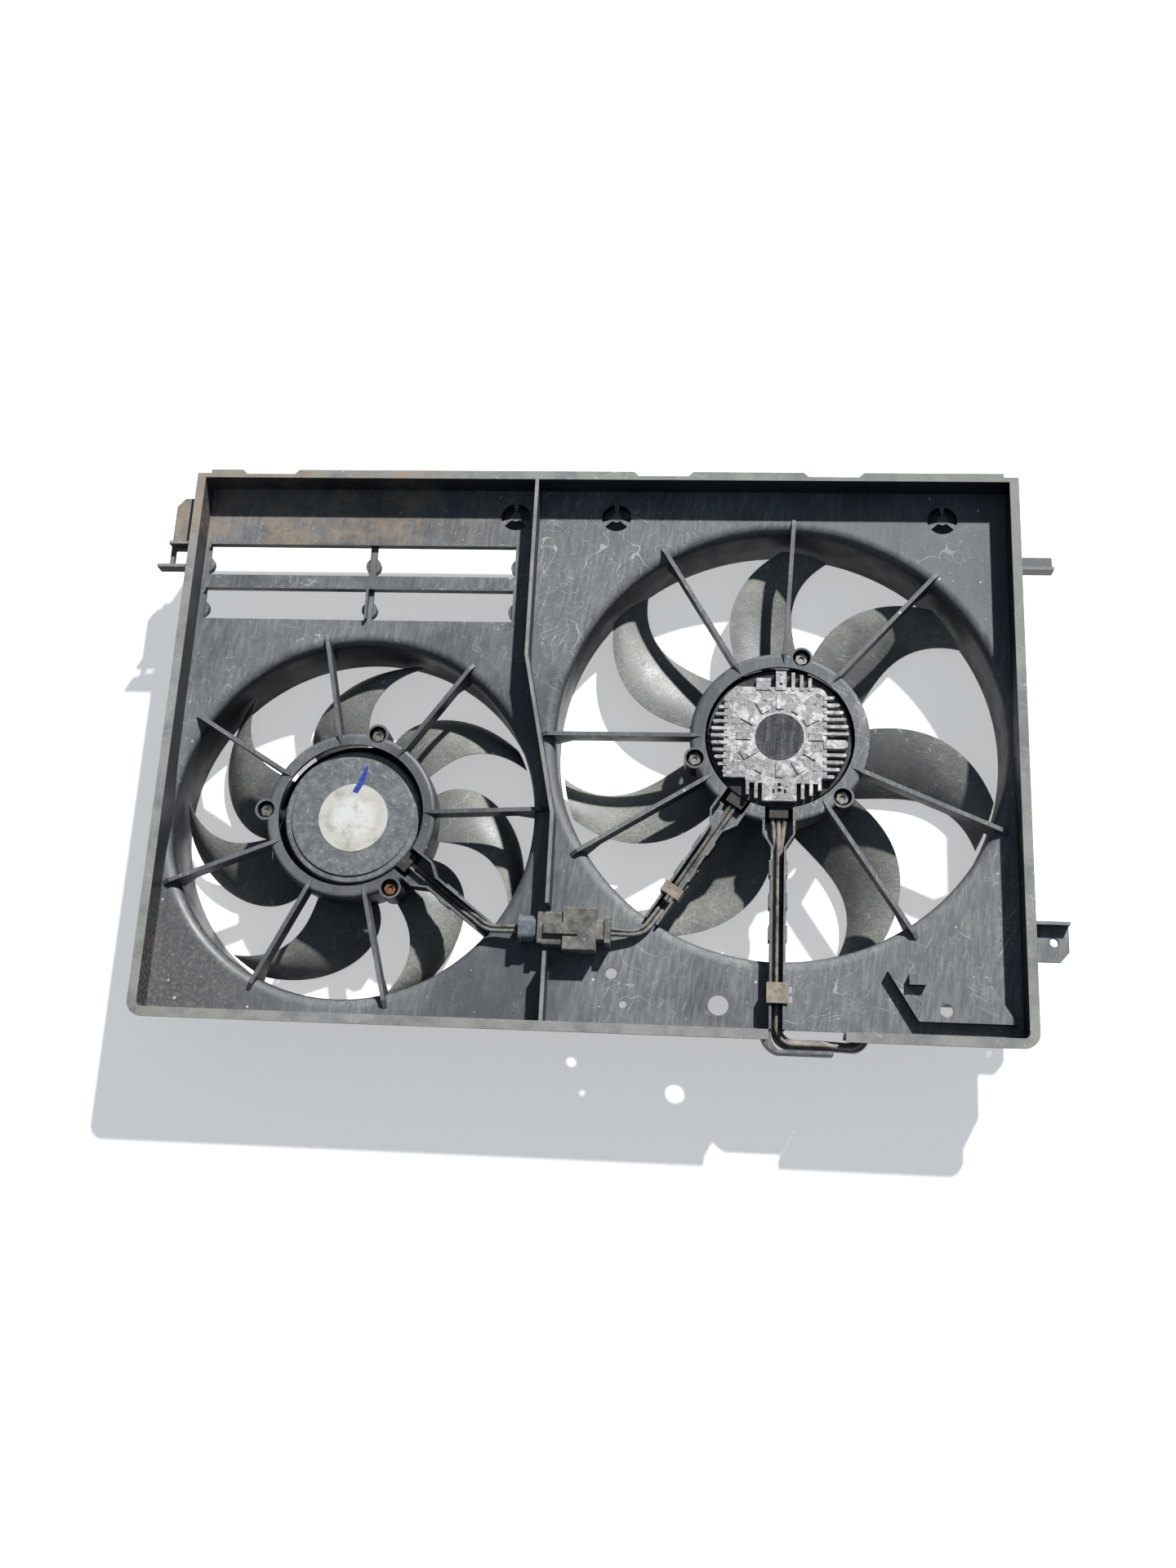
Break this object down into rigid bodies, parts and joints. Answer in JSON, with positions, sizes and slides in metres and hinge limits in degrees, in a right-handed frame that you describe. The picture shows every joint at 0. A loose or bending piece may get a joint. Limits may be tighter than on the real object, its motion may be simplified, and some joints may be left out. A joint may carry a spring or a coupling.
{
  "type": "radiator cooling fan",
  "caption": "Twin electric radiator cooling fan: shroud with bell mouths, struts and fixing lugs, two free running sickle bladed fans, motors, controller heat sink and leads.",
  "frame": {"origin": "middle of the bounding box at its base, the plane of the bell mouths' rear edges", "axes": "+X along the module's width with the larger fan on the +X side, +Y towards the top of the module as fitted, +Z out of the face that meets the radiator"},
  "size_m": [0.752, 0.483, 0.076],
  "materials": {
    "shroud_plastic": "moulded, dusty",
    "fan_plastic": "moulded, dusty",
    "controller_plastic": "moulded",
    "connector_plastic": "moulded",
    "seal_rubber": "matt",
    "clip_plastic": "moulded",
    "heat_sink_aluminium": "cast, corroded",
    "motor_paint": "painted sheet",
    "zinc_steel": "zinc plated",
    "shaft_steel": "ground",
    "core_steel": "laminated",
    "copper_winding": "enamelled copper",
    "ferrite": "sintered",
    "carbon": "carbon",
    "board": "circuit board",
    "chip_plastic": "moulded",
    "lead_sleeve": "sleeve",
    "wire_skin": "wire insulation"
  },
  "bodies": {
    "shroud_body": {"big_brush_plate": "controller_plastic", "big_brushes": "carbon", "big_controller_board": "board", "big_controller_housing": "controller_plastic", "big_controller_lid": "controller_plastic", "big_controller_seal": "seal_rubber", "big_controller_transistors": "chip_plastic", "big_front_bearing": "shaft_steel", "big_heat_sink": "heat_sink_aluminium", "big_link_grommet": "seal_rubber", "big_motor_bracket": "zinc_steel", "big_motor_can": "motor_paint", "big_motor_magnets": "ferrite", "big_motor_screws": "zinc_steel", "big_rear_bearing": "shaft_steel", "big_supply_grommet": "seal_rubber", "link_lead": "wire_skin", "link_lead_clip": "clip_plastic", "link_lock": "clip_plastic", "link_plug": "connector_plastic", "link_seal_boot": "seal_rubber", "link_socket": "connector_plastic", "shroud": "shroud_plastic", "small_brush_plate": "controller_plastic", "small_brushes": "carbon", "small_front_bearing": "shaft_steel", "small_lead_grommet": "seal_rubber", "small_motor_bracket": "zinc_steel", "small_motor_can": "motor_paint", "small_motor_cover": "motor_paint", "small_motor_lead": "wire_skin", "small_motor_magnets": "ferrite", "small_motor_screws": "zinc_steel", "small_rear_bearing": "shaft_steel", "supply_connector": "connector_plastic", "supply_lead": "lead_sleeve", "supply_lead_clip": "clip_plastic"},
    "big_rotor": {"big_armature": "core_steel", "big_commutator": "copper_winding", "big_fan": "fan_plastic", "big_hub_insert": "shaft_steel", "big_shaft": "shaft_steel", "big_shaft_nut": "zinc_steel", "big_windings": "copper_winding"},
    "small_rotor": {"small_armature": "core_steel", "small_commutator": "copper_winding", "small_fan": "fan_plastic", "small_hub_insert": "shaft_steel", "small_shaft": "shaft_steel", "small_shaft_nut": "zinc_steel", "small_windings": "copper_winding"}
  },
  "joints": [
    {"name": "big_fan_spin", "type": "hinge", "parent": "shroud_body", "child": "big_rotor", "pos_m": [0.156, 0.0135, 0.016], "axis": [0, 0, 1], "continuous": true},
    {"name": "small_fan_spin", "type": "hinge", "parent": "shroud_body", "child": "small_rotor", "pos_m": [-0.1915, -0.061, 0.016], "axis": [0, 0, 1], "continuous": true}
  ]
}
